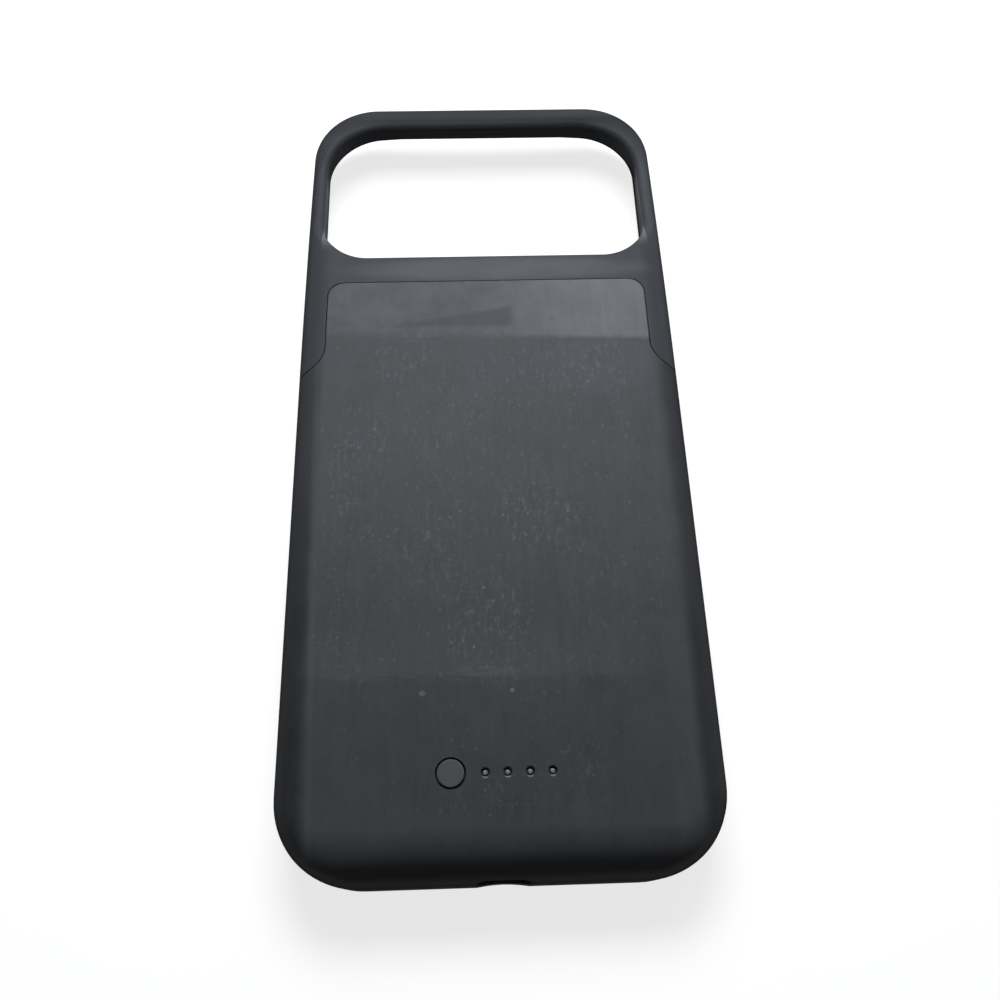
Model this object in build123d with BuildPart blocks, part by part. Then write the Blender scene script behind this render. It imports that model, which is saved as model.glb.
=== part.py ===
"""Battery charging case for a phone, lying face down.

Frame: the front rim stands on z = 0 and the back faces +Z. X runs across the case and Y along it, with the
camera window at the +Y end and the charge port at the -Y end. The origin is under the middle of the case.
Millimetres.
"""

import math
import os

from build123d import *

os.makedirs("parts", exist_ok=True)

# Phone that the case holds
phone_length = 150.0
phone_width = 71.9
phone_thickness = 8.75
phone_corner_radius = 12.0
phone_side_clearance = 0.2
phone_end_clearance = 0.3
phone_depth_clearance = 0.2

# Walls, rims and the fits between the three mouldings
lip_thickness = 1.2
lip_overhang = 0.9
tray_thickness = 0.9
shell_wall = 1.4
cradle_wall = 1.1
fit_gap = 0.1
seam_gap = 0.1
seam_edge_radius = 0.2
top_wall = 2.6
chin_depth = 18.1
chin_wall = 1.5

# Outer form
plan_radius = 14.8
back_radius = 6.0
window_end_drop = 3.4
chin_roll_radius = 8.75
chin_roll_angle = 45.0
port_scoop_radius = 26.0
port_scoop_depth = 0.4

# Seam between the hard shell and the soft frame
panel_length = 117.4
ear_depth = 21.2
ear_width = 5.8
seam_corner_radius = 3.4
shoulder_radius = 5.4

# Camera window and the raised front edge of the soft frame
window_side_bar = 3.85
window_top_bar = 8.7
window_bridge = 7.1
window_lower_radius = 10.0
window_upper_radius = 13.0
window_edge_radius = 1.4
bridge_rest = 1.5
frame_lift_start = 3.0
frame_lift_run = 12.0
frame_lift_sides = 2.4
frame_lift_arch = 2.2

# Cell and what packs it
tape_thickness = 0.2
cell_thickness = 3.7
foam_thickness = 0.3
foam_inset = 6.0
cell_side_gap = 1.3
cell_end_gap = 1.0
cell_edge_radius = 1.2
protection_board_depth = 3.0
protection_board_width = 40.0
protection_board_thickness = 0.8
lead_diameter = 0.9
lead_spacing = 6.0
lead_reach = 2.2
lead_rise = 0.9
lead_bend_radius = 0.7
board_to_cell_gap = 2.5

# Button, switch and indicator lights in one row across the panel
indicator_row_offset = 17.4
button_x = -8.5
button_diameter = 4.65
button_gap = 0.3
button_recess = 0.05
button_edge_radius = 0.25
button_play = 0.1
button_flange_thickness = 0.6
button_flange_overlap = 0.6
button_boss_diameter = 2.0
button_boss_height = 0.2
switch_size = 4.0
switch_height = 1.6
plunger_diameter = 1.8
plunger_gap = 0.2
plunger_rise = 0.35
plunger_height = 0.9
plunger_well_depth = 0.95
first_light_x = -2.7
light_pitch = 3.78
light_count = 4
light_hole_diameter = 1.4
light_hole_edge_radius = 0.25
light_post_gap = 0.2
light_post_recess = 0.45
light_post_edge_radius = 0.3
light_bar_thickness = 0.8
light_bar_margin = 1.5
light_bar_depth = 2.6
light_bar_gap = 0.05
led_length = 1.6
led_depth = 0.8
led_height = 0.6
led_room = 0.3

# Main board, its screws and what stands on it
board_width = 56.0
board_thickness = 0.8
board_corner_radius = 6.0
board_end_gap = 3.6
board_length = 26.5
screw_x = 22.5
screw_edge_distance = 3.5
screw_shank_diameter = 1.4
screw_shank_length = 1.8
screw_head_diameter = 2.6
screw_head_height = 0.7
screw_clearance = 0.1
screw_boss_diameter = 4.2
controller_size = 4.0
converter_size = 3.5
chip_height = 0.8
inductor_size = 6.0
inductor_height = 1.9
inductor_corner_radius = 0.8
capacitor_length = 1.6
capacitor_width = 0.8
capacitor_pitch = 2.2
capacitor_columns = 4
capacitor_rows = 2
power_parts_x = 15.0
power_parts_spacing = 7.5

# Charge socket under the main board
socket_width = 8.94
socket_height = 3.26
socket_length = 7.35
socket_metal = 0.3
socket_recess = 0.6
socket_clearance = 0.25
socket_back_block = 1.6
tongue_width = 6.7
tongue_thickness = 0.7
tongue_reach = 4.6

# Plug that enters the phone, and its carrier
plug_width = 8.25
plug_height = 2.4
plug_metal = 0.25
plug_reach = 6.5
plug_insert_setback = 4.0
plug_hole_clearance = 0.15
plug_base_width = 12.0
plug_base_height = 5.4
plug_base_depth = 5.4
plug_board_width = 21.0
plug_board_height = 5.0
plug_board_thickness = 0.8
flex_width = 4.5
flex_thickness = 0.3
flex_lap = 2.4
flex_foot = 2.2

# Sound openings of the chin
sound_slot_width = 1.0
sound_slot_length = 5.0
sound_slot_pitch = 2.0
sound_slot_count = 4
sound_slots_x = 15.0
sound_port_width = 8.0
sound_port_height = 3.0

# Levels, from the front rim up
pocket_depth = phone_thickness + phone_depth_clearance
tray_z = lip_thickness + pocket_depth
tray_back_z = tray_z + tray_thickness
rear_inner_z = tray_back_z + tape_thickness + cell_thickness + foam_thickness
case_thickness = rear_inner_z + shell_wall
phone_middle_z = lip_thickness + pocket_depth / 2
button_stack = button_play + button_flange_thickness + button_boss_height + plunger_rise + switch_height
board_top_z = rear_inner_z - button_stack
board_z = board_top_z - board_thickness

# Plan sizes and places along the case
pocket_width = phone_width + 2 * phone_side_clearance
pocket_length = phone_length + 2 * phone_end_clearance
pocket_radius = phone_corner_radius + phone_side_clearance
case_width = pocket_width + 2 * (cradle_wall + fit_gap + shell_wall)
case_length = chin_depth + pocket_length + top_wall
bottom_y = -case_length / 2
top_y = case_length / 2
pocket_bottom_y = bottom_y + chin_depth
pocket_middle_y = pocket_bottom_y + pocket_length / 2
seam_top_y = bottom_y + panel_length
shoulder_y = seam_top_y - ear_depth
chin_roll_y = bottom_y + chin_roll_radius
panel_half_width = case_width / 2 - ear_width
window_bottom_y = seam_top_y + window_bridge
window_top_y = top_y - window_top_bar
tray_end_y = window_bottom_y - bridge_rest
chin_room_end_y = pocket_bottom_y - chin_wall
row_y = bottom_y + indicator_row_offset
board_bottom_y = bottom_y + board_end_gap
board_top_y = board_bottom_y + board_length
light_places = [first_light_x + i * light_pitch for i in range(light_count)]
lights_middle_x = (light_places[0] + light_places[-1]) / 2
light_bar_length = light_places[-1] - light_places[0] + 2 * light_bar_margin
screw_places = [
    (side * screw_x, y)
    for side in (-1, 1)
    for y in (board_bottom_y + screw_edge_distance, board_top_y - screw_edge_distance)
]
board_middle_y = (board_bottom_y + board_top_y) / 2
chin_end_wall = shell_wall + fit_gap + cradle_wall
chin_room_middle_y = (bottom_y + chin_end_wall + chin_room_end_y) / 2
port_face_y = bottom_y + port_scoop_depth
scoop_y = port_face_y - port_scoop_radius
lift_y = tray_end_y + frame_lift_start
arch_radius = ((phone_width / 2) ** 2 + frame_lift_arch**2) / (2 * frame_lift_arch)
far = case_length

# Places of the cell in the room between the main board and the seam wall
cell_width = 2 * (panel_half_width - seam_gap / 2 - shell_wall - cell_side_gap)
cell_top_y = seam_top_y - seam_gap / 2 - shell_wall - cell_end_gap
cell_bottom_y = board_top_y + board_to_cell_gap + protection_board_depth
cell_length = cell_top_y - cell_bottom_y
cell_middle_y = (cell_top_y + cell_bottom_y) / 2
cell_z = tray_back_z + tape_thickness

# Places of the button, the light guide, the socket and the plug
button_flange_z = rear_inner_z - button_play - button_flange_thickness
light_bar_z = rear_inner_z - light_bar_gap - light_bar_thickness
socket_middle_z = board_z - socket_height / 2
socket_bottom_z = board_z - socket_height
socket_mouth_y = port_face_y + socket_recess
plug_length = chin_wall + plug_reach
flex_x = plug_board_width / 2 - flex_width
flex_y = chin_room_end_y - plug_base_depth - plug_board_thickness
flex_bottom_z = phone_middle_z + plug_board_height / 2 - flex_lap


def skin(inset):
    """Solid inside the outer surface of the case, moved inwards by inset at the sides and the back."""
    back_z = case_thickness - inset
    slope_run = top_y - shoulder_y
    slope_radius = (slope_run**2 + window_end_drop**2) / (2 * window_end_drop) - inset
    slope_angle = math.degrees(math.asin((slope_run + plan_radius) / slope_radius))
    chin_radius = chin_roll_radius - inset
    with BuildPart() as body:
        with BuildSketch(Plane.YZ):
            with BuildLine():
                chin = CenterArc((chin_roll_y, back_z - chin_radius), chin_radius, 90, chin_roll_angle)
                Line(chin @ 0, (shoulder_y, back_z))
                slope = CenterArc((shoulder_y, back_z - slope_radius), slope_radius, 90, -slope_angle)
                end = chin @ 1 + chin % 1 * chin_roll_radius
                Polyline(
                    slope @ 1,
                    ((slope @ 1).X, -case_thickness),
                    (end.X, -case_thickness),
                    end,
                    chin @ 1,
                )
            make_face()
        extrude(amount=case_width, both=True)
        with BuildSketch():
            RectangleRounded(case_width - 2 * inset, case_length - 2 * inset, plan_radius - inset)
        extrude(amount=case_thickness, mode=Mode.INTERSECT)
        back_faces = body.faces().filter_by(lambda f: f.normal_at().Z > 0.5)
        rim = back_faces.edges().filter_by(
            lambda e: abs(e.center().X) > fit_gap or abs(e.center().Y) > top_y - inset - fit_gap
        )
        fillet(rim, back_radius - inset)
    return body.part


outer_skin = skin(0)
shell_inside = skin(shell_wall)
cradle_outside = skin(shell_wall + fit_gap)


def panel_outline(grow):
    """Plan of the hard shell below the seam, grown outwards by grow."""
    half = panel_half_width + grow
    top = seam_top_y + grow
    shoulder = shoulder_y + grow
    with BuildSketch() as outline:
        with BuildLine():
            Polyline(
                (-far, -far),
                (far, -far),
                (far, shoulder),
                (half, shoulder),
                (half, top),
                (-half, top),
                (-half, shoulder),
                (-far, shoulder),
                close=True,
            )
        make_face()
        corners = outline.vertices().filter_by(lambda v: abs(abs(v.X) - half) < fit_gap)
        fillet(corners.group_by(Axis.Y)[-1], seam_corner_radius + grow)
        corners = outline.vertices().filter_by(lambda v: abs(abs(v.X) - half) < fit_gap)
        fillet(corners.group_by(Axis.Y)[0], shoulder_radius - grow)
    return outline.sketch


shell_plan = panel_outline(-seam_gap / 2)
frame_cut_plan = panel_outline(seam_gap / 2)
room_plan = panel_outline(-seam_gap / 2 - shell_wall)


def cradle_room(end_gap):
    """Space inside the outer walls for the cradle frame, up to the back of its tray."""
    with BuildPart() as room:
        add(shell_inside)
        with Locations((0, tray_end_y + end_gap - far, 0)):
            Box(2 * far, 2 * far, 2 * tray_back_z, mode=Mode.INTERSECT)
    return room.part


def electronics_room():
    """Space for the cell and the boards, closed at the seam by a wall of the rear shell."""
    with BuildPart() as room:
        add(shell_inside)
        with BuildSketch():
            add(room_plan)
        extrude(amount=case_thickness, mode=Mode.INTERSECT)
    return room.part


def along_case(y, z):
    """Upright plane across the case at y, facing the camera window, with its origin at height z."""
    return Plane((0, y, z), x_dir=(1, 0, 0), z_dir=(0, 1, 0))


def edges_along(part, plan, lowest):
    """Outer edges of a part above a level that follow a plan over the back and down the sides."""
    outline = plan.wire()

    def follows(edge):
        points = [edge @ t for t in (0.1, 0.5, 0.9)]
        at_side = all(abs(p.X) > case_width / 2 - fit_gap for p in points)
        upright = abs((edge % 0.5).Z) > 0.99
        on_plan = all(outline.distance_to(Vertex(p.X, p.Y, 0)) < fit_gap / 10 for p in points)
        return on_plan and edge.center().Z > lowest and (at_side or not upright)

    return part.edges().filter_by(follows)


# Rear shell: panel, side rolls and bottom end, open to the front
with BuildPart() as rear_shell:
    add(outer_skin)
    with BuildSketch(Plane.XY.offset(lip_thickness)):
        add(shell_plan)
    extrude(amount=case_thickness, mode=Mode.INTERSECT)
    fillet(edges_along(rear_shell, shell_plan, 2 * lip_thickness), seam_edge_radius)
    add(cradle_room(far), mode=Mode.SUBTRACT)
    add(electronics_room(), mode=Mode.SUBTRACT)
    with Locations((button_x, row_y, case_thickness)):
        Hole(button_diameter / 2 + button_gap, depth=2 * shell_wall)
    with Locations([(x, row_y, case_thickness) for x in light_places]):
        Hole(light_hole_diameter / 2, depth=2 * shell_wall)
    fillet(rear_shell.edges(Select.LAST).group_by(Axis.Z)[-1], light_hole_edge_radius)
    with Locations((0, scoop_y)):
        Cylinder(port_scoop_radius, 2 * case_thickness, mode=Mode.SUBTRACT)
    with BuildSketch(along_case(bottom_y, socket_middle_z)):
        SlotOverall(socket_width + 2 * socket_clearance, socket_height + 2 * socket_clearance)
    extrude(amount=2 * shell_wall, mode=Mode.SUBTRACT)
rear_shell.part.label = "rear_shell"
export_step(rear_shell.part, "parts/rear_shell.step")

# Soft top frame: bridge, ears and loop round the camera window
with BuildPart() as soft_top_frame:
    add(outer_skin)
    with BuildSketch():
        add(frame_cut_plan)
    extrude(amount=case_thickness, mode=Mode.SUBTRACT)
    fillet(edges_along(soft_top_frame, frame_cut_plan, 2 * lip_thickness), seam_edge_radius)
    with BuildSketch(Plane.XY.offset(tray_z)) as window:
        with Locations((0, (window_bottom_y + window_top_y) / 2)):
            Rectangle(case_width - 2 * window_side_bar, window_top_y - window_bottom_y)
        fillet(window.vertices().group_by(Axis.Y)[0], window_lower_radius)
        fillet(window.vertices().group_by(Axis.Y)[-1], window_upper_radius)
    extrude(amount=case_thickness, mode=Mode.SUBTRACT)
    fillet(edges_along(soft_top_frame, window.sketch_local, tray_z + fit_gap), window_edge_radius)
    add(cradle_room(fit_gap), mode=Mode.SUBTRACT)
    with BuildSketch():
        with Locations((0, pocket_middle_y)):
            RectangleRounded(pocket_width, pocket_length, pocket_radius)
    extrude(amount=tray_z, mode=Mode.SUBTRACT)
    with BuildSketch(Plane.YZ):
        with BuildLine():
            ramp = Bezier(
                (lift_y, 0),
                (lift_y + frame_lift_run / 2, 0),
                (lift_y + frame_lift_run / 2, frame_lift_sides),
                (lift_y + frame_lift_run, frame_lift_sides),
            )
            Polyline(ramp @ 1, (far, frame_lift_sides), (far, 0), ramp @ 0)
        make_face()
    extrude(amount=case_width, both=True, mode=Mode.SUBTRACT)
    with BuildSketch(along_case(lift_y + frame_lift_run, frame_lift_sides + frame_lift_arch - arch_radius)):
        Circle(arch_radius)
    extrude(amount=case_length, mode=Mode.SUBTRACT)
soft_top_frame.part.label = "soft_top_frame"
export_step(soft_top_frame.part, "parts/soft_top_frame.step")

# Cradle frame: tray behind the phone, side walls, front lip and chin
with BuildPart() as cradle_frame:
    add(cradle_outside)
    with Locations((0, tray_end_y - far, 0)):
        Box(2 * far, 2 * far, 2 * tray_back_z, mode=Mode.INTERSECT)
    with BuildSketch():
        RectangleRounded(case_width, case_length, plan_radius)
        with Locations((0, shoulder_y - seam_gap / 2 - far)):
            Rectangle(2 * far, 2 * far, mode=Mode.INTERSECT)
    extrude(amount=lip_thickness)
    with BuildSketch(Plane.XY.offset(lip_thickness)):
        with Locations((0, pocket_middle_y)):
            RectangleRounded(pocket_width, pocket_length, pocket_radius)
    extrude(amount=pocket_depth, mode=Mode.SUBTRACT)
    with BuildSketch():
        with Locations((0, pocket_middle_y)):
            RectangleRounded(pocket_width - 2 * lip_overhang, pocket_length - 2 * lip_overhang, pocket_radius)
    extrude(amount=lip_thickness, mode=Mode.SUBTRACT)
    with BuildSketch(Plane.XY.offset(lip_thickness)):
        RectangleRounded(pocket_width, case_length - 2 * chin_end_wall, plan_radius - chin_end_wall)
        with Locations((0, chin_room_end_y - far)):
            Rectangle(2 * far, 2 * far, mode=Mode.INTERSECT)
    extrude(amount=tray_back_z, mode=Mode.SUBTRACT)
    with Locations((0, bottom_y, socket_bottom_z - socket_clearance)):
        Box(
            socket_width + 2 * socket_clearance,
            2 * (chin_end_wall + socket_clearance),
            tray_back_z,
            align=(Align.CENTER, Align.CENTER, Align.MIN),
            mode=Mode.SUBTRACT,
        )
    with BuildSketch(along_case(chin_room_end_y, phone_middle_z)):
        SlotOverall(plug_width + 2 * plug_hole_clearance, plug_height + 2 * plug_hole_clearance)
        with Locations((-sound_slots_x, 0), (sound_slots_x, 0)):
            SlotOverall(sound_port_width, sound_port_height)
    extrude(amount=chin_wall, mode=Mode.SUBTRACT)
    with BuildSketch():
        with Locations((-sound_slots_x, chin_room_middle_y), (sound_slots_x, chin_room_middle_y)):
            with GridLocations(sound_slot_pitch, 0, sound_slot_count, 1):
                SlotOverall(sound_slot_length, sound_slot_width, rotation=90)
    extrude(amount=lip_thickness, mode=Mode.SUBTRACT)
    for boss_x, boss_y in screw_places:
        boss_foot_z = lip_thickness if boss_y < chin_room_end_y else tray_back_z
        with BuildSketch(Plane.XY.offset(boss_foot_z)):
            with Locations((boss_x, boss_y)):
                Circle(screw_boss_diameter / 2)
        extrude(amount=board_z - boss_foot_z)
    with BuildSketch(Plane.XY.offset(board_z)):
        with Locations(screw_places):
            Circle(screw_shank_diameter / 2 + screw_clearance)
    extrude(amount=board_thickness - screw_shank_length - screw_clearance, mode=Mode.SUBTRACT)
    with Locations((0, scoop_y)):
        Cylinder(port_scoop_radius, 2 * case_thickness, mode=Mode.SUBTRACT)
cradle_frame.part.label = "cradle_frame"
export_step(cradle_frame.part, "parts/cradle_frame.step")

# Adhesive sheet under the cell and its protection board
with BuildPart() as cell_tape:
    with BuildSketch(Plane.XY.offset(tray_back_z)):
        with Locations((0, (cell_bottom_y - protection_board_depth + cell_top_y) / 2)):
            Rectangle(cell_width - 2 * cell_edge_radius, cell_length + protection_board_depth)
    extrude(amount=tape_thickness)
cell_tape.part.label = "cell_tape"
export_step(cell_tape.part, "parts/cell_tape.step")

# Flat pouch cell
with BuildPart() as battery_cell:
    with BuildSketch(Plane.XY.offset(cell_z)):
        with Locations((0, cell_middle_y)):
            RectangleRounded(cell_width, cell_length, cell_edge_radius)
    extrude(amount=cell_thickness)
    fillet(battery_cell.edges().group_by(Axis.Z)[0], cell_edge_radius / 2)
    fillet(battery_cell.edges().group_by(Axis.Z)[-1], cell_edge_radius / 2)
battery_cell.part.label = "battery_cell"
export_step(battery_cell.part, "parts/battery_cell.step")

# Foam between the cell and the rear wall
with BuildPart() as cell_foam_pad:
    with BuildSketch(Plane.XY.offset(cell_z + cell_thickness)):
        with Locations((0, (cell_bottom_y + foam_inset + shoulder_y) / 2)):
            Rectangle(cell_width - 2 * foam_inset, shoulder_y - cell_bottom_y - foam_inset)
    extrude(amount=foam_thickness)
cell_foam_pad.part.label = "cell_foam_pad"
export_step(cell_foam_pad.part, "parts/cell_foam_pad.step")

# Protection board at the lower end of the cell
with BuildPart() as cell_protection_board:
    with BuildSketch(Plane.XY.offset(cell_z)):
        with Locations((0, cell_bottom_y - protection_board_depth / 2)):
            Rectangle(protection_board_width, protection_board_depth)
    extrude(amount=protection_board_thickness)
cell_protection_board.part.label = "cell_protection_board"
export_step(cell_protection_board.part, "parts/cell_protection_board.step")

# Leads from the protection board over the edge of the main board
for lead_name, lead_side in (("cell_lead_negative", -1), ("cell_lead_positive", 1)):
    lead_x = lead_side * lead_spacing / 2
    lead_start_y = cell_bottom_y - protection_board_depth / 2
    lead_end_y = board_top_y - lead_reach
    lead_high_z = board_top_z + lead_rise
    with BuildPart() as cell_lead:
        with BuildLine():
            lead_path = FilletPolyline(
                (lead_x, lead_start_y, cell_z + protection_board_thickness),
                (lead_x, lead_start_y, lead_high_z),
                (lead_x, lead_end_y, lead_high_z),
                (lead_x, lead_end_y, board_top_z),
                radius=lead_bend_radius,
            )
        with BuildSketch(Plane(lead_path @ 0, z_dir=lead_path % 0)):
            Circle(lead_diameter / 2)
        sweep()
    cell_lead.part.label = lead_name
    export_step(cell_lead.part, f"parts/{lead_name}.step")

# Main board on its four bosses
with BuildPart() as main_board:
    with BuildSketch(Plane.XY.offset(board_z)):
        with Locations((0, board_middle_y)):
            RectangleRounded(board_width, board_length, board_corner_radius)
        with Locations(screw_places):
            Circle(screw_shank_diameter / 2 + screw_clearance, mode=Mode.SUBTRACT)
    extrude(amount=board_thickness)
main_board.part.label = "main_board"
export_step(main_board.part, "parts/main_board.step")

# Four screws that hold the main board
with BuildPart() as board_screws:
    with BuildSketch(Plane.XY.offset(board_top_z)):
        with Locations(screw_places):
            Circle(screw_head_diameter / 2)
    extrude(amount=screw_head_height)
    with BuildSketch(Plane.XY.offset(board_top_z)):
        with Locations(screw_places):
            Circle(screw_shank_diameter / 2)
    extrude(amount=-screw_shank_length)
board_screws.part.label = "board_screws"
export_step(board_screws.part, "parts/board_screws.step")

# Button cap with its retaining flange and the boss that meets the switch
with BuildPart() as button_cap:
    with BuildSketch(Plane.XY.offset(button_flange_z)):
        with Locations((button_x, row_y)):
            Circle(button_diameter / 2 + button_gap + button_flange_overlap)
    extrude(amount=button_flange_thickness)
    with BuildSketch(Plane.XY.offset(button_flange_z)):
        with Locations((button_x, row_y)):
            Circle(button_diameter / 2)
    extrude(amount=case_thickness - button_recess - button_flange_z)
    fillet(button_cap.edges().group_by(Axis.Z)[-1], button_edge_radius)
    with BuildSketch(Plane.XY.offset(button_flange_z)):
        with Locations((button_x, row_y)):
            Circle(button_boss_diameter / 2)
    extrude(amount=-button_boss_height)
button_cap.part.label = "button_cap"
export_step(button_cap.part, "parts/button_cap.step")

# Switch on the main board, with a well for its plunger
with BuildPart() as tact_switch_body:
    with BuildSketch(Plane.XY.offset(board_top_z)):
        with Locations((button_x, row_y)):
            Rectangle(switch_size, switch_size)
    extrude(amount=switch_height)
    with Locations((button_x, row_y, board_top_z + switch_height)):
        Hole(plunger_diameter / 2 + plunger_gap, depth=plunger_well_depth)
tact_switch_body.part.label = "tact_switch_body"
export_step(tact_switch_body.part, "parts/tact_switch_body.step")

# Plunger, which moves with the button cap
with BuildPart() as tact_switch_plunger:
    with BuildSketch(Plane.XY.offset(board_top_z + switch_height + plunger_rise)):
        with Locations((button_x, row_y)):
            Circle(plunger_diameter / 2)
    extrude(amount=-plunger_height)
tact_switch_plunger.part.label = "tact_switch_plunger"
export_step(tact_switch_plunger.part, "parts/tact_switch_plunger.step")

# Clear light guide: one bar with a post in each light hole
with BuildPart() as light_guide:
    with BuildSketch(Plane.XY.offset(light_bar_z)):
        with Locations((lights_middle_x, row_y)):
            Rectangle(light_bar_length, light_bar_depth)
    extrude(amount=light_bar_thickness)
    with BuildSketch(Plane.XY.offset(light_bar_z)):
        with Locations([(x, row_y) for x in light_places]):
            Circle(light_hole_diameter / 2 - light_post_gap)
    extrude(amount=case_thickness - light_post_recess - light_bar_z)
    fillet(light_guide.edges().group_by(Axis.Z)[-1], light_post_edge_radius)
light_guide.part.label = "light_guide"
export_step(light_guide.part, "parts/light_guide.step")

# Dark foam that keeps the light of each indicator in its own post
with BuildPart() as light_shield:
    with BuildSketch(Plane.XY.offset(board_top_z)):
        with Locations((lights_middle_x, row_y)):
            Rectangle(light_bar_length, light_bar_depth)
        with Locations([(x, row_y) for x in light_places]):
            Rectangle(led_length + 2 * led_room, led_depth + 2 * led_room, mode=Mode.SUBTRACT)
    extrude(amount=light_bar_z - board_top_z)
light_shield.part.label = "light_shield"
export_step(light_shield.part, "parts/light_shield.step")

# Indicator lights on the main board
for light_number, light_x in enumerate(light_places, start=1):
    with BuildPart() as led:
        with BuildSketch(Plane.XY.offset(board_top_z)):
            with Locations((light_x, row_y)):
                Rectangle(led_length, led_depth)
        extrude(amount=led_height)
    led.part.label = f"led_{light_number}"
    export_step(led.part, f"parts/led_{light_number}.step")

# Power chips beside the lights
for chip_name, chip_size, chip_side in (
    ("charge_controller", controller_size, 1),
    ("boost_converter", converter_size, -1),
):
    with BuildPart() as chip:
        with BuildSketch(Plane.XY.offset(board_top_z)):
            with Locations((power_parts_x, row_y + chip_side * power_parts_spacing / 2)):
                Rectangle(chip_size, chip_size)
        extrude(amount=chip_height)
    chip.part.label = chip_name
    export_step(chip.part, f"parts/{chip_name}.step")

# Power inductor
with BuildPart() as power_inductor:
    with BuildSketch(Plane.XY.offset(board_top_z)):
        with Locations((power_parts_x + power_parts_spacing, row_y)):
            RectangleRounded(inductor_size, inductor_size, inductor_corner_radius)
    extrude(amount=inductor_height)
power_inductor.part.label = "power_inductor"
export_step(power_inductor.part, "parts/power_inductor.step")

# Ceramic capacitors on the other half of the board
with BuildPart() as ceramic_capacitors:
    with BuildSketch(Plane.XY.offset(board_top_z)):
        with Locations((-power_parts_x - power_parts_spacing / 2, row_y)):
            with GridLocations(capacitor_pitch, capacitor_pitch, capacitor_columns, capacitor_rows):
                Rectangle(capacitor_width, capacitor_length)
    extrude(amount=capacitor_width)
ceramic_capacitors.part.label = "ceramic_capacitors"
export_step(ceramic_capacitors.part, "parts/ceramic_capacitors.step")

# Charge socket: metal shell under the main board, open to the bottom end
with BuildPart() as charge_socket_shell:
    with BuildSketch(along_case(socket_mouth_y, socket_middle_z)):
        SlotOverall(socket_width, socket_height)
        SlotOverall(socket_width - 2 * socket_metal, socket_height - 2 * socket_metal, mode=Mode.SUBTRACT)
    extrude(amount=socket_length)
charge_socket_shell.part.label = "charge_socket_shell"
export_step(charge_socket_shell.part, "parts/charge_socket_shell.step")

# Socket tongue on the block that closes the back of the shell
with BuildPart() as charge_socket_tongue:
    with BuildSketch(along_case(socket_mouth_y + socket_length, socket_middle_z)):
        SlotOverall(socket_width - 2 * socket_metal, socket_height - 2 * socket_metal)
    extrude(amount=-socket_back_block)
    with BuildSketch(along_case(socket_mouth_y + socket_length - socket_back_block, socket_middle_z)):
        Rectangle(tongue_width, tongue_thickness)
    extrude(amount=-tongue_reach)
charge_socket_tongue.part.label = "charge_socket_tongue"
export_step(charge_socket_tongue.part, "parts/charge_socket_tongue.step")

# Phone plug: metal shell through the chin wall
with BuildPart() as phone_plug_shell:
    with BuildSketch(along_case(chin_room_end_y, phone_middle_z)):
        SlotOverall(plug_width, plug_height)
        SlotOverall(plug_width - 2 * plug_metal, plug_height - 2 * plug_metal, mode=Mode.SUBTRACT)
    extrude(amount=plug_length)
phone_plug_shell.part.label = "phone_plug_shell"
export_step(phone_plug_shell.part, "parts/phone_plug_shell.step")

# Contact insert deep inside the plug shell
with BuildPart() as phone_plug_insert:
    with BuildSketch(along_case(chin_room_end_y, phone_middle_z)):
        SlotOverall(plug_width - 2 * plug_metal, plug_height - 2 * plug_metal)
    extrude(amount=plug_length - plug_insert_setback)
phone_plug_insert.part.label = "phone_plug_insert"
export_step(phone_plug_insert.part, "parts/phone_plug_insert.step")

# Plug base against the chin wall
with BuildPart() as phone_plug_base:
    with BuildSketch(along_case(chin_room_end_y, phone_middle_z)):
        Rectangle(plug_base_width, plug_base_height)
    extrude(amount=-plug_base_depth)
phone_plug_base.part.label = "phone_plug_base"
export_step(phone_plug_base.part, "parts/phone_plug_base.step")

# Small upright board behind the plug base
with BuildPart() as plug_board:
    with BuildSketch(along_case(chin_room_end_y - plug_base_depth, phone_middle_z)):
        Rectangle(plug_board_width, plug_board_height)
    extrude(amount=-plug_board_thickness)
plug_board.part.label = "plug_board"
export_step(plug_board.part, "parts/plug_board.step")

# Ribbon from the plug board up to the underside of the main board
with BuildPart() as plug_flex:
    with BuildSketch(Plane.YZ.offset(flex_x)):
        with BuildLine():
            Polyline(
                (flex_y, flex_bottom_z),
                (flex_y, board_z),
                (flex_y - flex_thickness - flex_foot, board_z),
                (flex_y - flex_thickness - flex_foot, board_z - flex_thickness),
                (flex_y - flex_thickness, board_z - flex_thickness),
                (flex_y - flex_thickness, flex_bottom_z),
                close=True,
            )
        make_face()
    extrude(amount=flex_width)
plug_flex.part.label = "plug_flex"
export_step(plug_flex.part, "parts/plug_flex.step")
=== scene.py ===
"""Battery charging case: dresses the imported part, lights it and sets the camera.

Metres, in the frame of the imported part: the front rim lies on z = 0, the back faces +Z, the camera window is
at the +Y end and the charge port at the -Y end.
"""

import logging
import math
from dataclasses import dataclass, field
from enum import Enum
from typing import Any, Mapping, Sequence

import bmesh
import bpy
from mathutils import Matrix, Vector


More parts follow.
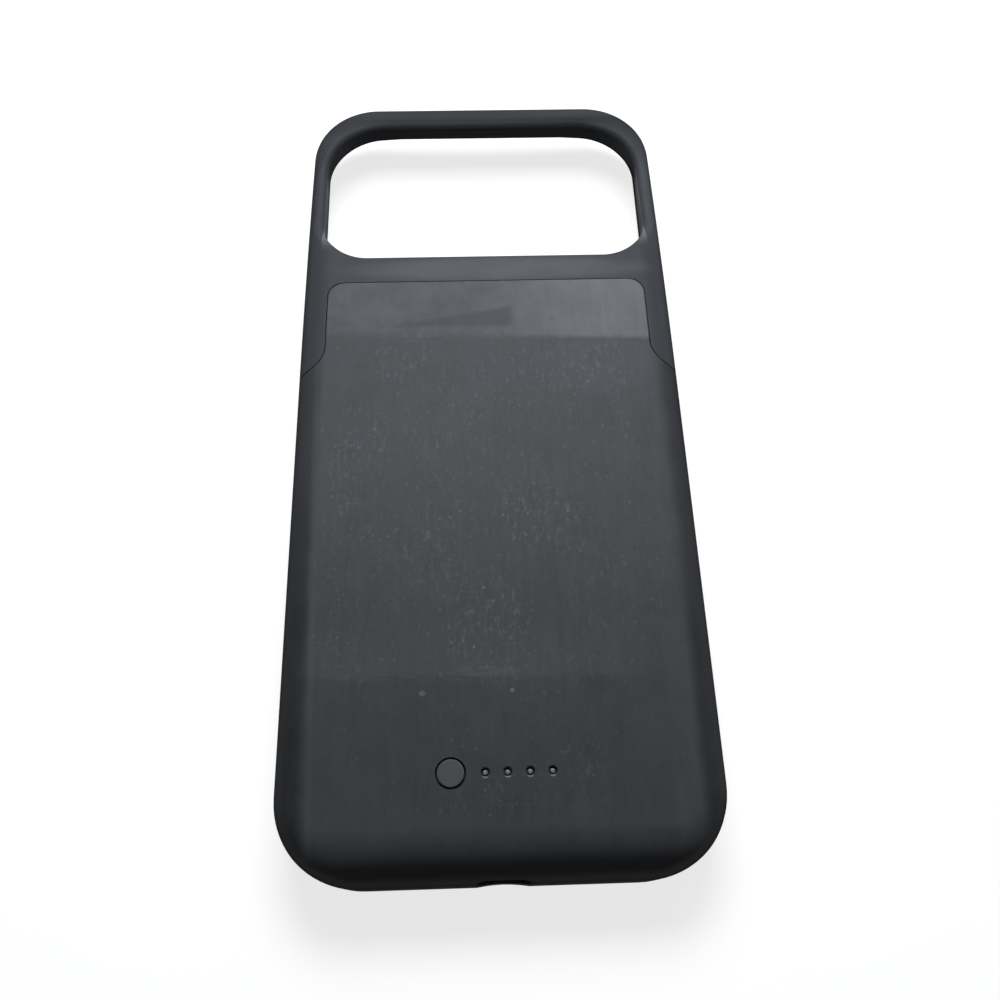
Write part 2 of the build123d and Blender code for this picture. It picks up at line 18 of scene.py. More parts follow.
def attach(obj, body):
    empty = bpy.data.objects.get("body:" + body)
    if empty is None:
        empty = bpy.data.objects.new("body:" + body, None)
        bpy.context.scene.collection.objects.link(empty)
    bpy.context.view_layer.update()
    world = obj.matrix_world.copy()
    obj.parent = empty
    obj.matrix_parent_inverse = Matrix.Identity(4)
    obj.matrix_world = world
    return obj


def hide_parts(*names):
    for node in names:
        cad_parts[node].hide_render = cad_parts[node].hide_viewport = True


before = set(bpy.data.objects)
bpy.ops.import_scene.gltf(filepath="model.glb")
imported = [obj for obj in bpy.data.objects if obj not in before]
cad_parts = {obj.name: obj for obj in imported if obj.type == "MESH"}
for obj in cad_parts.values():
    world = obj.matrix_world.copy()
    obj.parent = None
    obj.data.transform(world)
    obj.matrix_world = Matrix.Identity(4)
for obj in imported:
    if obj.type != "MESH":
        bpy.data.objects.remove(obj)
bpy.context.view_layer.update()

log = logging.getLogger("charging_case")

MM = 0.001
PER_MM = 1000.0

Colour = tuple[float, float, float]
Point = tuple[float, float, float]

# Places on the case in millimetres
SEAM_Y = 31.75
WINDOW_HALF = 34.9
LIGHT_ROW_Y = -68.25
LIGHTS_X = (-2.7, 1.08, 4.86, 8.64)

# Clusters of scuffs: place across and along, half width, half length, share
SCUFF_CLUSTERS = (
    (-28.2, -11.5, 4.0, 12.0, 0.9),
    (-21.8, -6.0, 2.2, 10.0, 0.9),
    (23.0, 10.5, 9.0, 7.0, 0.8),
    (7.0, -20.5, 9.0, 9.0, 0.8),
    (-1.5, -41.0, 9.5, 10.5, 1.0),
    (13.5, -66.5, 5.0, 6.0, 0.7),
    (-1.5, -72.5, 12.0, 3.5, 0.5),
)

# Welding and shading of the mouldings
WELD_DISTANCE = 1e-6
SHARP_ANGLE = math.radians(32)
SHADING_WEIGHT = 80


class Body(Enum):
    """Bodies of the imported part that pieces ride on."""

    CASE = "case"
    BUTTON = "button"


class Slot(Enum):
    """Material slots of the record, passed along with each new piece."""

    SHELL = "hard_shell"
    FRAME = "soft_frame"
    CRADLE = "cradle_plastic"
    BUTTON = "button_plastic"
    STEEL = "steel"


class WearAndLight(Enum):
    """Marks on a soft-touch moulding: dust and handling marks, and on the frame and the panel also painted
    shade and painted highlights.
    """

    DUSTED = "dusted"
    FRAME = "frame"
    PANEL = "panel"


class Pattern(Enum):
    """Ways in which a plain finish is broken up."""

    GRAIN = "grain"
    CELLS = "cells"
    BRUSHED = "brushed"


class Wire:
    """An output socket of a node tree, joined into Math nodes by Python's operators."""

    def __init__(self, graph: "Graph", socket: bpy.types.NodeSocket) -> None:
        """Keeps the graph and the socket."""
        self.graph = graph
        self.socket = socket

    def math(self, operation: str, first: Any, second: Any = 0.0) -> "Wire":
        """Adds one Math node.

        Args:
            operation: Name of the Math node's operation.
            first: First value or wire.
            second: Second value or wire.

        Returns:
            The node's result.
        """
        return self.graph.node("ShaderNodeMath", {"operation": operation}, {0: first, 1: second})

    def __add__(self, other: Any) -> "Wire":
        """Sum."""
        return self.math("ADD", self, other)

    def __radd__(self, other: Any) -> "Wire":
        """Sum, reflected."""
        return self.math("ADD", other, self)

    def __sub__(self, other: Any) -> "Wire":
        """Difference."""
        return self.math("SUBTRACT", self, other)

    def __rsub__(self, other: Any) -> "Wire":
        """Difference, reflected."""
        return self.math("SUBTRACT", other, self)

    def __mul__(self, other: Any) -> "Wire":
        """Product."""
        return self.math("MULTIPLY", self, other)

    def __rmul__(self, other: Any) -> "Wire":
        """Product, reflected."""
        return self.math("MULTIPLY", other, self)

    def __truediv__(self, other: Any) -> "Wire":
        """Quotient."""
        return self.math("DIVIDE", self, other)

    def __rtruediv__(self, other: Any) -> "Wire":
        """Quotient, reflected."""
        return self.math("DIVIDE", other, self)

    def __neg__(self) -> "Wire":
        """Opposite sign."""
        return -1.0 * self

    def __pow__(self, other: Any) -> "Wire":
        """Power."""
        return self.math("POWER", self, other)

    def __abs__(self) -> "Wire":
        """Size without sign."""
        return self.math("ABSOLUTE", self)

    def most(self, other: Any) -> "Wire":
        """The larger of two values."""
        return self.math("MAXIMUM", self, other)

    def least(self, other: Any) -> "Wire":
        """The smaller of two values."""
        return self.math("MINIMUM", self, other)

    def rise(self, low: Any, high: Any) -> "Wire":
        """Smooth step from 0 at low to 1 at high.

        Args:
            low: Value at which the step starts.
            high: Value at which it has reached 1.

        Returns:
            The step.
        """
        settings = {"interpolation_type": "SMOOTHSTEP", "clamp": True}
        return self.graph.node(
            "ShaderNodeMapRange", settings, {"Value": self, "From Min": low, "From Max": high}
        )

    def between(self, low: Any, high: Any, soft: float) -> "Wire":
        """1 between two values, with soft edges.

        Args:
            low: Lower edge.
            high: Upper edge.
            soft: Width of each edge.

        Returns:
            The band.
        """
        half = soft / 2
        return self.rise(low - half, low + half) * (1 - self.rise(high - half, high + half))


class Graph:
    """A node tree that is filled through one method."""

    def __init__(self, tree: bpy.types.NodeTree) -> None:
        """Keeps the tree and empties it."""
        self.tree = tree
        self.tree.nodes.clear()

    def node(
        self,
        kind: str,
        settings: Mapping[str, Any] | None = None,
        sockets: Mapping[Any, Any] | None = None,
        output: int | str = 0,
    ) -> Wire | None:
        """Adds any node.

        Args:
            kind: Type of the node.
            settings: Its properties.
            sockets: Values or wires for its inputs, by name or number; a list joins several wires.
            output: Name or number of the output that is wanted.

        Returns:
            That output, or None for a node without outputs.
        """
        made = self.tree.nodes.new(kind)
        for key, value in (settings or {}).items():
            setattr(made, key, value)
        for key, value in (sockets or {}).items():
            socket = made.inputs[key]
            if isinstance(value, (Wire, list)):
                for wire in value if isinstance(value, list) else [value]:
                    self.tree.links.new(wire.socket, socket)
            elif isinstance(value, tuple) and socket.type == "RGBA":
                socket.default_value = (*value, 1.0)
            else:
                socket.default_value = value
        return Wire(self, made.outputs[output]) if made.outputs else None

    def outputs(self, wire: Wire, *names: str) -> list[Wire]:
        """Other outputs of the node that a wire comes from, by name."""
        return [Wire(self, wire.socket.node.outputs[name]) for name in names]


class Surface(Graph):
    """The node tree of one material, in object coordinates."""

    def __init__(self, name: str) -> None:
        """Starts an empty material of that name."""
        self.material = bpy.data.materials.new(name)
        self.material.use_nodes = True
        super().__init__(self.material.node_tree)
        self.place = self.node("ShaderNodeTexCoord", output="Object")
        apart = self.node("ShaderNodeSeparateXYZ", {}, {0: self.place})
        self.x, self.y, self.z = (wire * PER_MM for wire in self.outputs(apart, "X", "Y", "Z"))

    def mapped(self, scale: Point, turn: float = 0.0, shift: Point = (0.0, 0.0, 0.0)) -> Wire:
        """Object coordinates in millimetres, scaled, turned about Z and shifted.

        Args:
            scale: Repeats to a millimetre along each axis.
            turn: Turn about Z in degrees.
            shift: Shift after scaling.

        Returns:
            The coordinates.
        """
        sockets = {
            "Vector": self.place,
            "Location": shift,
            "Rotation": (0.0, 0.0, math.radians(turn)),
            "Scale": tuple(part * PER_MM for part in scale),
        }
        return self.node("ShaderNodeMapping", {}, sockets)

    def noise(
        self, scale: Point, detail: float = 2.0, shift: Point = (0.0, 0.0, 0.0), turn: float = 0.0
    ) -> Wire:
        """Noise around a half.

        Args:
            scale: Repeats to a millimetre along each axis.
            detail: Octaves.
            shift: Shift that makes this noise differ from others.
            turn: Turn about Z in degrees.

        Returns:
            The noise.
        """
        place = self.mapped(scale, turn, shift)
        sockets = {"Vector": place, "Scale": 1.0, "Detail": detail, "Roughness": 0.6}
        return self.node("ShaderNodeTexNoise", {}, sockets)

    def specks(
        self, pitch: float, size: float, share: float, shift: Point = (0.0, 0.0, 0.0), flat: bool = True
    ) -> Wire:
        """Round specks scattered over the surface.

        Args:
            pitch: Mean distance between cells in millimetres.
            size: Radius of a speck in millimetres.
            share: Share of the cells that hold a speck.
            shift: Shift that makes these specks differ from others.
            flat: Whether they keep their place along Z.

        Returns:
            1 on a speck.
        """
        scale = (1 / pitch, 1 / pitch, 0.0 if flat else 1 / pitch)
        settings = {"feature": "F1", "voronoi_dimensions": "3D"}
        sockets = {"Vector": self.mapped(scale, 0.0, shift), "Scale": 1.0}
        near = self.node("ShaderNodeTexVoronoi", settings, sockets, "Distance")
        (tint,) = self.outputs(near, "Color")
        pick = self.node("ShaderNodeSeparateColor", {}, {0: tint}).rise(1 - share, 1 - share * 0.6)
        reach = size / pitch
        return (1 - near.rise(reach * 0.5, reach)) * pick

    def mix(self, factor: Any, first: Any, second: Any) -> Wire:
        """Mix of two colours.

        Args:
            factor: Share of the second colour.
            first: First colour.
            second: Second colour.

        Returns:
            The mixed colour.
        """
        settings = {"data_type": "RGBA", "blend_type": "MIX", "clamp_factor": True}
        return self.node("ShaderNodeMix", settings, {0: factor, 6: first, 7: second}, 2)

    def bump(self, height: Wire, depth: float, below: Wire | None = None) -> Wire:
        """Bump whose height is given in millimetres.

        Args:
            height: Height from 0 to 1.
            depth: Height in millimetres at 1.
            below: Normal of a bump under this one.

        Returns:
            The normal.
        """
        sockets = {"Height": height, "Strength": 1.0, "Distance": depth * MM}
        if below is not None:
            sockets["Normal"] = below
        return self.node("ShaderNodeBump", {}, sockets)

    def finish(self, **sockets: Any) -> bpy.types.Material:
        """Ends the material in a Principled shader.

        Args:
            **sockets: Values or wires, named as the shader's sockets with _ for each space.

        Returns:
            The material.
        """
        named = {key.replace("_", " "): value for key, value in sockets.items()}
        shader = self.node("ShaderNodeBsdfPrincipled", {}, named, "BSDF")
        self.node("ShaderNodeOutputMaterial", {}, {"Surface": shader})
        return self.material


@dataclass(frozen=True)
class PlainFinish:
    """A finish of two near colours, broken up by one pattern, with its own roughness and bump.

    Attributes:
        name: Name of the material.
        dark: Darker colour, linear.
        light: Lighter colour, linear.
        scale: Repeats of the pattern to a millimetre along X, Y and Z.
        rough: Lowest and highest roughness.
        metal: Metallic share.
        depth: Height of the bump in millimetres.
        pattern: Kind of pattern.
        coat: Weight of a clear coat.
    """

    name: str
    dark: Colour
    light: Colour
    scale: Point = (2.0, 2.0, 2.0)
    rough: tuple[float, float] = (0.45, 0.6)
    metal: float = 0.0
    depth: float = 0.01
    pattern: Pattern = Pattern.GRAIN
    coat: float = 0.0

    def build(self) -> bpy.types.Material:
        """Makes the material."""
        g = Surface(self.name)
        cloud = g.noise((0.08, 0.08, 0.08), 3.0, (3.1, 1.7, 0.4))
        if self.pattern is Pattern.CELLS:
            sockets = {"Vector": g.mapped(self.scale), "Scale": 1.0}
            fine = g.node("ShaderNodeTexVoronoi", {"feature": "F1"}, sockets, "Distance")
        elif self.pattern is Pattern.BRUSHED:
            fine = g.noise(self.scale, 5.0)
        else:
            fine = g.noise(self.scale, 3.0)
        share = (fine * 0.6 + cloud * 0.7 - 0.15).rise(0.2, 0.8)
        low, high = self.rough
        return g.finish(
            Base_Color=g.mix(share, self.dark, self.light),
            Roughness=low + (high - low) * (cloud * 0.5 + fine * 0.5),
            Metallic=self.metal,
            Coat_Weight=self.coat,
            Normal=g.bump(fine, self.depth),
        )


@dataclass(frozen=True)
class SoftTouch:
    """Matte soft-touch coating of the mouldings, with fine grain, a little dust, and painted shade and painted
    highlights in its colour.

    Attributes:
        name: Name of the material.
        colour: Colour of the coating, linear.
        dust: Colour of dust and of the film that handling leaves, also used for the painted highlights,
            linear.
        painted_shade: Colour of the painted shade that darkens the rolls and the far end of the frame, linear.
        rough: Roughness of the clean coating.
        wear_and_light: Which marks it carries: dust and handling marks and, on the frame and the panel,
            painted shade and painted highlights.
        gloss: Level of its mirror reflection.
    """

    name: str
    colour: Colour = (0.0329, 0.0345, 0.0387)
    dust: Colour = (0.20, 0.208, 0.222)
    painted_shade: Colour = (0.0085, 0.0091, 0.0103)
    rough: float = 0.46
    wear_and_light: WearAndLight = WearAndLight.DUSTED
    gloss: float = 0.05

    def build(self) -> bpy.types.Material:
        """Makes the material."""
        g = Surface(self.name)
        grain = g.noise((5.0, 5.0, 5.0), 3.0)
        cloud = g.noise((0.05, 0.05, 0.05), 3.0, (2.0, 5.0, 1.0))
        left = {WearAndLight.DUSTED: self.dusted, WearAndLight.FRAME: self.frame_dust_and_painted_light, WearAndLight.PANEL: self.panel_wear_and_painted_light}
        film, shade_share = left[self.wear_and_light](g)
        film = (film + (cloud - 0.35) * 0.06).most(0.0).least(0.9)
        normal = g.bump(grain, 0.006, g.bump(g.noise((0.35, 0.35, 0.35), 2.0), 0.012))
        grazing = g.node("ShaderNodeLayerWeight", {}, {"Blend": 0.5}, "Facing").rise(0.35, 0.9)
        # Base colour: the coating darkened by the painted shade share, then paled by dust, film and painted
        # highlights.
        return g.finish(
            Base_Color=g.mix(film, g.mix(shade_share, self.colour, self.painted_shade), self.dust),
            Roughness=(self.rough + (grain - 0.5) * 0.08 + film * 0.15 + grazing * 0.5).least(0.98),
            Specular_IOR_Level=self.gloss,
            Normal=normal,
        )

    @staticmethod
    def dusted(g: Surface) -> tuple[Wire, Any]:
        """A few specks of dust: shares of dust colour and of painted shade colour, which is none."""
        return g.specks(3.0, 0.09, 0.25, (4.0, 2.0, 1.0)) * 0.18, 0.0

    def frame_dust_and_painted_light(self, g: Surface) -> tuple[Wire, Any]:
        """Marks of the window frame: dust specks and mottle, a painted highlight across the strip between the
        seam and the window, painted light on the window's sides, beside the seam and on the right roll, and
        painted shade towards the far end.

        Args:
            g: Graph that it is made in.

        Returns:
            Shares of dust colour, which also serves for the painted highlights, and of painted shade colour.
        """
        mottle = (g.noise((0.12, 0.3, 0.12), 3.0, (5.0, 1.0, 2.0)) - 0.5) * 0.09
        # Painted highlight: a pale, mottled band across the strip between the seam and the window.
        bridge = self.dot(g, 3.0, 34.8, 38.0, 3.9) * (0.165 + mottle * 1.5)
        across = abs(g.x)
        # Painted light on the window's sides: their inner edges and inner faces are paled where they would
        # catch light, more on the right.
        rim = (1 - across.rise(WINDOW_HALF - 0.1, WINDOW_HALF + 1.5)) * (0.03 + g.x.rise(-10.0, 10.0) * 0.02)
        near = 1 - across.rise(WINDOW_HALF + 0.03, WINDOW_HALF + 0.17)
        wall = near * (0.6 + g.y.rise(48.0, 60.0) * 0.3)
        edges = (rim + wall) * g.y.between(44.0, 63.0, 8.0)
        # Painted light beside the seam on the frame's side, which softens the dark line of the groove.
        seam = (1 - across.rise(29.5, 31.5)) * (1 - g.y.rise(SEAM_Y + 0.09, SEAM_Y + 0.31)) * 0.25
        # Painted highlight along the right roll of the frame.
        right = g.x.rise(34.5, 38.0) * (0.035 + g.y.rise(38.0, 48.0) * 0.07) * (1 - g.y.rise(66.0, 76.0))
        specks, _ = self.dusted(g)
        film = bridge + edges + seam + right + specks + mottle * 0.2
        # Painted shade: the frame darkens from the middle towards the far end, and most on the far bar.
        return film, g.y.rise(40.0, 50.0) * 0.14 + self.far_bar_shade(g, across)

    @staticmethod
    def far_bar_shade(g: Surface, across: Wire) -> Wire:
        """Painted shade on the bar at the far end, strongest along the line where its back turns into the
        window, and taken off the face that looks into the window.

        Args:
            g: Graph that it is made in.
            across: Distance from the middle of the case in millimetres.

        Returns:
            Share of painted shade colour.
        """
        right_half = g.x.rise(0.0, 25.0)
        bar = g.y.rise(70.0, 79.0) * (0.54 - g.y.rise(79.4, 81.2) * (0.14 + right_half * 0.22))
        line = g.y.between(77.5, 79.3, 0.8) * g.z.rise(11.8, 12.8) * (1 - across.rise(20.0, 30.0))
        inner = g.y.rise(74.0, 76.0) * (1 - g.z.rise(12.0, 12.9))
        return bar + line * (0.24 + right_half * 0.18) - inner * 0.4

    def panel_wear_and_painted_light(self, g: Surface) -> tuple[Wire, Any]:
        """Marks of the back: film, smear, scuffs and specks, placed in millimetres, with painted highlights at
        the panel's edges, beside the seam and on the rims of the light holes, a paler film towards the far end
        as painted sheen, and painted shade on the rolls.

        Args:
            g: Graph that it is made in.

        Returns:
            Shares of dust colour, which also serves for the painted highlights, and of painted shade colour.
        """
        back = g.z.rise(14.0, 16.2)
        wobble = (g.noise((0.45, 0.6, 0.0), 4.0, (8.0, 0.0, 0.0)) - 0.5) * 2.0
        patches = g.noise((0.18, 0.18, 0.0), 3.0, (1.0, 7.0, 0.0)) - 0.5
        parts = [
            self.wiped(g, wobble, patches),
            self.smear(g, wobble),
            self.dot(g, -13.2, -54.8, 0.75, 0.6) * (0.2 + wobble * 0.3),
            self.dot(g, 2.3, -54.6, 0.5, 0.5) * 0.3,
            self.dot(g, 13.1, 21.9, 0.5, 0.6) * -0.1,
            self.scuffs(g),
            patches * 0.07,
            # Painted highlight along the left edge of the panel, where it turns into the roll.
            (-g.x - g.y * 0.03).between(33.6, 34.7, 0.6) * 0.03,
            # Painted highlight near the right edge of the lower panel.
            g.x.between(29.0, 33.5, 1.5) * (-g.y).between(45.0, 80.0, 8.0) * 0.025,
            self.dot(g, 22.0, 11.0, 15.0, 9.0) * 0.035,
            (g.noise((0.5, 0.07, 0.0), 3.0, (2.0, 4.0, 0.0)) - 0.5) * 0.07,
            # Painted light beside the seam on the shell's side, which softens the dark line of the groove.
            (1 - abs(g.x).rise(29.5, 31.5)) * g.y.rise(SEAM_Y - 0.31, SEAM_Y - 0.09) * 0.25,
        ]
        # Painted highlight on the near rim of each light hole, where it would catch the far lamp.
        parts += [self.dot(g, x, LIGHT_ROW_Y - 0.8, 0.62, 0.26) * 0.5 for x in LIGHTS_X]
        # An even film over the back, paler towards the far end as painted sheen of the far lamp.
        film = (sum(parts[1:], parts[0]) + 0.03 + g.y.rise(-62.0, -15.0) * 0.043) * back
        return film, self.rolls(g)

    @staticmethod
    def rolls(g: Surface) -> Wire:
        """Painted shade on the rolls at both sides and at the bottom end, more on the lower left and less at
        the outermost edge of the sides.

        Args:
            g: Graph that it is made in.

        Returns:
            Share of painted shade colour.
        """
        low_left = (-g.x).rise(30.0, 34.0) * (-g.y).rise(0.0, 45.0) * 0.22
        roll = abs(g.x) + (-g.x).rise(20.0, 30.0) * 0.7 + (-g.y).rise(0.0, 75.0) * 0.55
        sides = roll.rise(33.2, 35.8) * (0.56 + low_left) - abs(g.x).rise(36.4, 38.7) * 0.5
        return (-g.y).rise(80.3, 84.0) * 0.95 + sides

    def wiped(self, g: Surface, wobble: Wire, patches: Wire) -> Wire:
        """The pale film below the seam, with its ragged lower border and the clean wedge in it.

        Args:
            g: Graph that it is made in.
            wobble: Unevenness of its edges in millimetres.
            patches: Soft patches around 0.

        Returns:
            Share of dust colour.
        """
        side = g.x.rise(-6.0, 24.0)
        border = 17.6 - g.x * 0.0286 + wobble * (1.2 - side * 0.5)
        soft = 1.6 - side * 0.6
        band = (g.y - border).rise(soft * -0.5, soft)
        torn = g.noise((0.7, 0.9, 0.0), 3.0, (3.0, 1.0, 0.0)).rise(0.45, 0.7)
        blotch = self.dot(g, -13.0, 17.6, 7.0, 1.8) * torn
        streaks = (g.noise((0.9, 0.05, 0.0), 3.0, (7.0, 2.0, 0.0)) - 0.5) * 0.1
        film = band * (0.095 + side * 0.205 + patches * 0.2 + streaks * side)
        line = (1 - abs(g.x - 24.0).rise(0.05, 0.3)) * g.y.between(17.5, 29.0, 1.0) * 0.05
        return film * (1 - self.wedge(g, wobble) * 0.95) + blotch * 0.08 + line

    @staticmethod
    def smear(g: Surface, wobble: Wire) -> Wire:
        """The long smear across the lower panel, with a haze above it.

        Args:
            g: Graph that it is made in.
            wobble: Unevenness of its edge in millimetres.

        Returns:
            Share of dust colour.
        """
        above = g.y + 52.3 + g.x * 0.0132
        start = (above - wobble * 0.5).rise(-0.2, 0.9)
        haze = start * (1 - above.rise(1.0, 14.0)) * g.x.between(-34.0, 24.0, 10.0)
        ridge = (1 - abs(above - wobble * 0.3).rise(0.1, 0.9)) * g.x.between(-31.0, 21.0, 8.0)
        broken = g.noise((0.35, 2.5, 0.0), 3.0, (0.0, 3.0, 0.0)).rise(0.42, 0.68)
        wiped = g.noise((0.3, 1.2, 0.0), 3.0, (4.0, 1.0, 0.0)).rise(0.35, 0.65)
        blob = SoftTouch.dot(g, -2.5, -51.2, 7.5, 1.3) * wiped
        return haze * 0.05 + ridge * broken * 0.06 + blob * 0.07

    @staticmethod
    def dot(g: Surface, x: float, y: float, across: float, along: float) -> Wire:
        """A soft oval spot.

        Args:
            g: Graph that it is made in.
            x: Place across the case in millimetres.
            y: Place along the case in millimetres.
            across: Half its width in millimetres.
            along: Half its length in millimetres.

        Returns:
            1 at its middle.
        """
        away = ((g.x - x) / across) ** 2.0 + ((g.y - y) / along) ** 2.0
        return 1 - away.rise(0.1, 1.0)

    @staticmethod
    def wedge(g: Surface, wobble: Wire) -> Wire:
        """The wedge that a finger wiped clean in the film below the seam.

        Args:
            g: Graph that it is made in.
            wobble: Unevenness of its edges in millimetres.

        Returns:
            1 where the film is wiped off.
        """
        ceiling = 21.0 + (g.x + 18.9) * 0.175 + wobble * 0.7
        under = (ceiling - g.y).rise(-0.6, 0.9)
        above = (g.y - 20.3 + wobble * 0.7).rise(-0.6, 0.8)
        across = g.x.rise(-26.0, -15.0) * (1 - (g.x + wobble * 0.8).rise(3.8, 6.2))
        return under * above * across

    def scuffs(self, g: Surface) -> Wire:
        """Short scuffs along the case, specks of dust and a few dark pits, gathered in clusters.

        Args:
            g: Graph that they are made in.

        Returns:
            Share of dust colour.
        """
        clusters = [
            self.dot(g, x, y, across, along) * share
            for x, y, across, along, share in SCUFF_CLUSTERS
        ]
        drift = g.noise((0.07, 0.05, 0.0), 2.0, (6.0, 2.0, 0.0)).rise(0.4, 0.68)
        inside = g.y.between(-76.0, 16.5, 3.0) * (1 - abs(g.x).rise(29.0, 36.0))
        spread = (0.3 + drift * 0.6) * (0.3 + g.y.rise(-57.0, -47.0) * 0.7) * (1 - g.x.rise(24.0, 32.0) * 0.5)
        where = (sum(clusters[1:], clusters[0]) + spread).least(1.2) * inside
        long = g.noise((1.4, 0.24, 0.0), 4.0, (0.0, 1.0, 0.0)).rise(0.5, 0.72)
        short = g.noise((1.0, 0.42, 0.0), 3.0, (5.0, 0.0, 0.0), 4.0).rise(0.52, 0.74)
        crumbs = g.noise((1.35, 1.0, 0.0), 2.0, (9.0, 3.0, 0.0)).rise(0.56, 0.74)
        dust = g.specks(2.0, 0.4, 0.3) * 0.14 + g.specks(1.3, 0.3, 0.4, (3.0, 9.0, 2.0)) * 0.1
        pits = g.specks(2.6, 0.3, 0.3, (1.0, 4.0, 0.0)) * 0.05 + 0.008
        marks = long * 0.04 + short * 0.13 + crumbs * 0.12 + dust
        return where * marks + inside * (dust * 0.3 - pits)


@dataclass(frozen=True)
class BoardFinish:
    """Circuit board: dark solder mask over copper tracks, with bare pads.

    Attributes:
        name: Name of the material.
        mask: Colour of the mask, linear.
        track: Colour of the mask over copper, linear.
        pad: Colour of the bare pads, linear.
    """

    name: str
    mask: Colour = (0.006, 0.022, 0.014)
    track: Colour = (0.012, 0.045, 0.026)
    pad: Colour = (0.62, 0.45, 0.17)

    def build(self) -> bpy.types.Material:
        """Makes the material."""
        g = Surface(self.name)
        settings = {"feature": "DISTANCE_TO_EDGE"}
        edge = g.node("ShaderNodeTexVoronoi", settings, {"Vector": g.mapped((0.5, 0.5, 0.5)), "Scale": 1.0})
        copper = edge.rise(0.06, 0.09)
        pads = g.specks(2.0, 0.4, 0.5)
        fibre = g.noise((6.0, 6.0, 6.0), 2.0)
        return g.finish(
            Base_Color=g.mix(pads, g.mix(copper * 0.8 + fibre * 0.2, self.mask, self.track), self.pad),
            Metallic=pads,
            Roughness=0.32 + fibre * 0.15,
            Normal=g.bump(copper, 0.02),
        )


@dataclass(frozen=True)
class Finishes:
    """Every finish of the case, made once.

    Attributes:
        nodes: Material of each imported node.
        gold: Material of the contacts.
    """

    nodes: dict[str, bpy.types.Material]
    gold: bpy.types.Material

    @classmethod
    def make(cls) -> "Finishes":
        """Builds the materials.

        Returns:
            The finishes.
        """
        # The shell and the frame carry painted shade and painted highlights in their colour besides dust and
        # handling marks.
        shell = SoftTouch("shell_soft_touch", wear_and_light=WearAndLight.PANEL).build()
        soft = SoftTouch("frame_soft_moulding", (0.035, 0.0373, 0.042), rough=0.5, wear_and_light=WearAndLight.FRAME).build()
        cap = SoftTouch("button_soft_touch", (0.0612, 0.0645, 0.0705), rough=0.48).build()
        black = PlainFinish("black_plastic", (0.008, 0.008, 0.009), (0.015, 0.015, 0.017), (6, 6, 6)).build()
        cradle = PlainFinish(
            "cradle_moulding", (0.010, 0.010, 0.011), (0.018, 0.018, 0.020), (7, 7, 7), (0.5, 0.68),
            depth=0.012,
        ).build()
        steel = PlainFinish(
            "socket_steel", (0.38, 0.38, 0.39), (0.56, 0.56, 0.57), (3, 0.3, 3), (0.22, 0.38), 1.0, 0.004,
            Pattern.BRUSHED,
        ).build()
        tin = PlainFinish(
            "switch_metal", (0.45, 0.44, 0.42), (0.6, 0.59, 0.57), (4, 4, 4), (0.3, 0.45), 1.0, 0.004
        ).build()
        foam = PlainFinish(
            "black_foam", (0.006, 0.006, 0.006), (0.02, 0.02, 0.021), (5, 5, 5), (0.85, 0.95), 0.0, 0.06,
            Pattern.CELLS,
        ).build()
        foil = PlainFinish(
            "pouch_foil", (0.55, 0.56, 0.57), (0.7, 0.7, 0.71), (0.5, 0.5, 0.5), (0.3, 0.48), 0.9, 0.05
        ).build()
        tape = PlainFinish(
            "cell_tape", (0.55, 0.5, 0.36), (0.68, 0.62, 0.46), (1.0, 4.0, 1.0), (0.4, 0.55), depth=0.01
        ).build()
        red = PlainFinish(
            "red_wire", (0.35, 0.012, 0.01), (0.48, 0.02, 0.015), (3, 3, 3), (0.35, 0.5)
        ).build()
        dark = PlainFinish("black_wire", (0.008, 0.008, 0.008), (0.016, 0.016, 0.016), (3, 3, 3)).build()
        clear = PlainFinish(
            "light_guide", (0.08, 0.082, 0.087), (0.115, 0.118, 0.124), (3, 3, 3), (0.3, 0.45),
            depth=0.01, coat=0.3,
        ).build()
        lamp = PlainFinish("led_white", (0.62, 0.58, 0.42), (0.75, 0.72, 0.58), (4, 4, 4), (0.3, 0.4)).build()
        ferrite = PlainFinish(
            "ferrite", (0.03, 0.03, 0.03), (0.06, 0.058, 0.055), (4, 4, 4), (0.55, 0.75)
        ).build()
        ceramic = PlainFinish(
            "ceramic", (0.34, 0.25, 0.17), (0.45, 0.34, 0.24), (5, 5, 5), (0.35, 0.5)
        ).build()
        ribbon = PlainFinish(
            "flex_ribbon", (0.26, 0.1, 0.02), (0.42, 0.18, 0.045), (3.0, 0.2, 0.2), (0.3, 0.42), depth=0.02,
            pattern=Pattern.BRUSHED,
        ).build()
        board = BoardFinish("circuit_board").build()
        gold = PlainFinish(
            "contact_gold", (0.72, 0.5, 0.2), (0.85, 0.62, 0.28), (5, 5, 5), (0.22, 0.35), 1.0, 0.003
        ).build()
        nodes = {
            "rear_shell": shell, "soft_top_frame": soft, "cradle_frame": cradle, "button_cap": cap,
            "light_guide": clear, "light_shield": foam, "battery_cell": foil, "cell_tape": tape,
            "cell_foam_pad": foam, "cell_protection_board": board, "cell_lead_positive": red,
            "cell_lead_negative": dark, "main_board": board, "board_screws": steel,
            "tact_switch_body": black, "tact_switch_plunger": tin, "led_1": lamp, "led_2": lamp,
            "led_3": lamp, "led_4": lamp, "charge_controller": black, "boost_converter": black,
            "power_inductor": ferrite, "ceramic_capacitors": ceramic, "charge_socket_shell": steel,
            "charge_socket_tongue": black, "phone_plug_shell": steel, "phone_plug_insert": black,
            "phone_plug_base": black, "plug_board": board, "plug_flex": ribbon,
        }
        return cls(nodes, gold)


